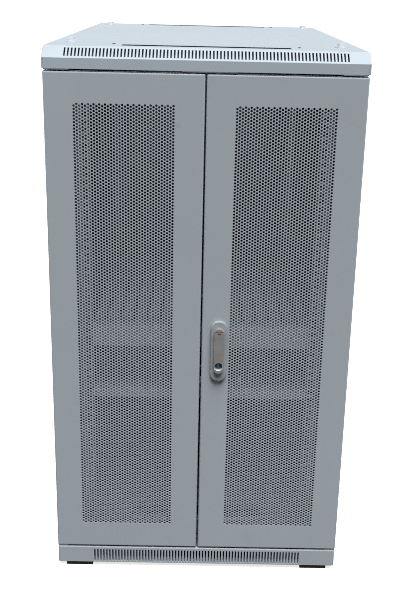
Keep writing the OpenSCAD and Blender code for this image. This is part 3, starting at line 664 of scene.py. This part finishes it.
def refined(node, fold, segments=3, pick=is_long_fold):
    """A copy of a CAD node: the outer edges that pick accepts are rounded to the width fold,
    and its other outer edges are broken by FINE."""
    bm = bmesh.new()
    bm.from_mesh(nodes[node].data)
    bmesh.ops.remove_doubles(bm, verts=bm.verts, dist=2e-6)
    bmesh.ops.dissolve_limit(bm, angle_limit=math.radians(0.4), verts=bm.verts, edges=bm.edges)
    bmesh.ops.recalc_face_normals(bm, faces=bm.faces)
    weight = bm.edges.layers.float.new("bevel_weight_edge")
    for edge in bm.edges:
        if len(edge.link_faces) == 2 and edge.calc_face_angle_signed(0) >= math.radians(25):
            edge[weight] = 1.0 if pick(edge) else FINE / fold
    name = node + "_folded"
    mesh = bpy.data.meshes.new(name)
    bm.to_mesh(mesh)
    bm.free()
    mesh.materials.append(mats[node_mat[node]])
    mesh.shade_smooth()
    obj = add_object(name, mesh)
    bevel = obj.modifiers.new("fold", "BEVEL")
    bevel.limit_method = "WEIGHT"
    bevel.width = fold
    bevel.segments = segments
    bevel.use_clamp_overlap = False
    bevel.harden_normals = False
    weighted_normals(obj, keep_sharp=True)
    mesh.set_sharp_from_angle(angle=math.radians(60))
    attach(obj, node_body[node])
    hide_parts(node)


refined("roof_cover", 0.0016)
refined("base_frame", 0.0028, segments=4)
for node in ("shelf_upper", "shelf_lower"):
    refined(node, 0.0014)
for node in ("side_panel_left", "side_panel_right"):
    refined(node, 0.0018)


# ---------------------------------------------------------------- swing handles
HANDLE_FOLDS = (("lock_housing_", 0.0013), ("lever_", 0.0004), ("lever_head_", 0.0009))
KEY_RIM = 0.0088                           # edges nearer the key hole than this stay sharp
SHUTTER_RISE = 7.45 * MM                   # from the foot of the key core to its centre
SHUTTER_HALF_X, SHUTTER_HALF_Z = 0.88 * MM, 3.95 * MM
SHUTTER_FRONT, SHUTTER_BACK = 0.8 * MM, 3.0 * MM   # below the face of the key core


def swing_handle(end, outward):
    """Rounds the rims on the outward faces and adds the shutter in the key core."""
    for prefix, fold in HANDLE_FOLDS:
        low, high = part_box(prefix + end)
        face_y = low.y if outward < 0 else high.y

        def on_rim(edge):
            # the wall beside the key hole is only 1 mm wide, so the hole's rim is left out
            return all(abs(v.co.y - face_y) < 2e-5
                       and (v.co.x - KEY_X[end]) ** 2 + (v.co.z - KEY_Z) ** 2 > KEY_RIM ** 2
                       for v in edge.verts)

        refined(prefix + end, fold, segments=4, pick=on_rim)
    low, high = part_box("key_core_" + end)
    z = low.z + SHUTTER_RISE
    face_y = low.y if outward < 0 else high.y
    lock_low, lock_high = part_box("lock_housing_" + end)
    x = (lock_low.x + lock_high.x) / 2
    sheet = Sheet()
    sheet.box((x - SHUTTER_HALF_X, x + SHUTTER_HALF_X),
              sorted((face_y - outward * SHUTTER_FRONT, face_y - outward * SHUTTER_BACK)),
              (z - SHUTTER_HALF_Z, z + SHUTTER_HALF_Z), chamfer=0.0002)
    piece("key_shutter_" + end, sheet, "key_core_" + end, mat="shutter", stands=False)


swing_handle("front", -1)
swing_handle("rear", 1)


# ---------------------------------------------------------------- roof plugs
def roof_plugs():
    """Blanking plugs in the screw holes beside the cable slots."""
    sheet = Sheet()
    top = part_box("roof_cover")[1].z
    for x in (-0.177, 0.177):
        for y in (-0.408, 0.408):
            sheet.lathe(x, y, [(0, top - 0.003), (2.4 * MM, top - 0.003), (2.4 * MM, top),
                               (3.4 * MM, top), (3.2 * MM, top + 0.8 * MM),
                               (2.0 * MM, top + 1.3 * MM), (0, top + 1.4 * MM)], 20)
    piece("roof_plugs", sheet, "roof_cover", mat="black_plastic", stands=False)


roof_plugs()

# ---------------------------------------------------------------- the other CAD nodes
SMALL_SLOTS = ("lock_body", "lever", "key_core", "zinc", "black_plastic")
for node, obj in nodes.items():
    if obj.hide_render:
        continue
    mesh = obj.data
    if "custom_normal" in mesh.attributes:
        mesh.attributes.remove(mesh.attributes["custom_normal"])
    mesh.materials.clear()
    mesh.materials.append(mats[node_mat[node]])
    mesh.shade_smooth()
    weld = obj.modifiers.new("weld", "WELD")
    weld.merge_threshold = 2e-6
    bevel = obj.modifiers.new("edges", "BEVEL")
    bevel.limit_method = "ANGLE"
    bevel.angle_limit = math.radians(50)
    bevel.width = 0.00025 if node_slot[node] in SMALL_SLOTS else 0.0004
    bevel.segments = 2
    bevel.use_clamp_overlap = True
    weighted_normals(obj, keep_sharp=False)


# ---------------------------------------------------------------- floor
def floor_material():
    """A floor that glows white to the camera, except under the cabinet, but reflects little."""
    net = Net("studio_floor")
    white = net.mix(net.clouds(0.8, detail=3), (0.90, 0.90, 0.90), (0.92, 0.92, 0.92))
    seen = net.add("ShaderNodeLightPath").outputs["Is Camera Ray"]
    under = net.inside((-0.30, -0.45, None), (0.30, 0.50, None))
    open_floor = net.math("SUBTRACT", 1.0, under)
    net.surface("Base Color", net.mix(seen, (0.07, 0.07, 0.072), white))
    net.surface("Roughness", 0.8)
    net.surface("Emission Color", (1, 1, 1, 1))
    glow = net.math("MULTIPLY", net.math("MULTIPLY", seen, open_floor), 0.75)
    net.surface("Emission Strength", glow)
    net.surface("Normal", net.bump(net.noise(300.0), strength=0.03, distance=0.0003))
    net.material.cycles.emission_sampling = "NONE"
    return net.material


floor_mesh = bpy.data.meshes.new("floor")
floor_mesh.from_pydata([(-60, -30, 0), (60, -30, 0), (60, 90, 0), (-60, 90, 0)], [],
                       [(0, 1, 2, 3)])
floor = add_object("floor", floor_mesh)
floor.location.z = -0.0005
floor_mesh.materials.append(floor_material())


# ---------------------------------------------------------------- world
def studio_world():
    """White to the camera, dim as a light, brighter in reflections."""
    world = bpy.data.worlds.new("studio")
    scene.world = world
    world.use_nodes = True
    world.cycles.sampling_method = "NONE"
    tree = world.node_tree
    tree.nodes.clear()
    rays = tree.nodes.new("ShaderNodeLightPath")

    def background(colour, strength):
        node = tree.nodes.new("ShaderNodeBackground")
        node.inputs[0].default_value = colour
        node.inputs[1].default_value = strength
        return node

    def switch(ray, otherwise, when):
        node = tree.nodes.new("ShaderNodeMixShader")
        tree.links.new(rays.outputs[ray], node.inputs[0])
        tree.links.new(otherwise.outputs[0], node.inputs[1])
        tree.links.new(when.outputs[0], node.inputs[2])
        return node

    cool = (0.97, 0.985, 1, 1)
    seen = background((1, 1, 1, 1), strength=1.0)
    diffuse = background(cool, strength=0.035)
    glossy = background(cool, strength=0.55)
    lighting = switch("Is Glossy Ray", diffuse, glossy)
    result = switch("Is Camera Ray", lighting, seen)
    output = tree.nodes.new("ShaderNodeOutputWorld")
    tree.links.new(result.outputs[0], output.inputs[0])


studio_world()


# ---------------------------------------------------------------- lights
def aim(direction):
    return Vector(direction).to_track_quat("-Z", "Y").to_euler()


def soft(name, location, direction, width, watts):
    """A soft panel of light below the roof and behind the front, so that neither is lit by it."""
    light = bpy.data.lights.new(name, "AREA")
    light.shape = "RECTANGLE"
    light.size, light.size_y = width, 0.9
    light.energy = watts
    obj = add_object(name, light)
    obj.location = location
    obj.rotation_euler = aim(direction)
    obj.visible_camera = False


sun = bpy.data.lights.new("key", "SUN")
sun.energy = 3.87
sun.angle = math.radians(36)
add_object("key", sun).rotation_euler = aim((-0.08, 0.365, -0.930))
soft("left", (-3.3, 0.65, 0.6), (1, 0, 0), width=2.0, watts=24)
soft("right", (3.3, 0.65, 0.6), (-1, 0, 0), width=2.0, watts=17)
soft("behind", (0, 3.8, 0.6), (0, -1, 0), width=2.4, watts=26)

# ---------------------------------------------------------------- camera and render
# The camera's own axes and place
CAMERA_RIGHT = Vector((0.999757, -0.002894, 0.021874))
CAMERA_DOWN = Vector((0.019909, -0.308998, -0.950854))
CAMERA_AHEAD = Vector((0.009511, 0.951058, -0.308866))
CAMERA_PLACE = Vector((-0.0027, -2.1808, 1.2181))

lens = bpy.data.cameras.new("camera")
lens.sensor_width = 36
lens.sensor_fit = "AUTO"
lens.lens = 54.16
lens.shift_x, lens.shift_y = -0.0099, -0.0403
lens.clip_end = 50
camera = add_object("camera", lens)
pose = Matrix((CAMERA_RIGHT, -CAMERA_DOWN, -CAMERA_AHEAD)).transposed().to_4x4()
pose.translation = CAMERA_PLACE
camera.matrix_world = pose
scene.camera = camera
scene.cycles.diffuse_bounces = 1
scene.cycles.use_denoising = False
scene.cycles.filter_width = 1.0
scene.view_settings.view_transform = "Standard"
scene.view_settings.look = "None"
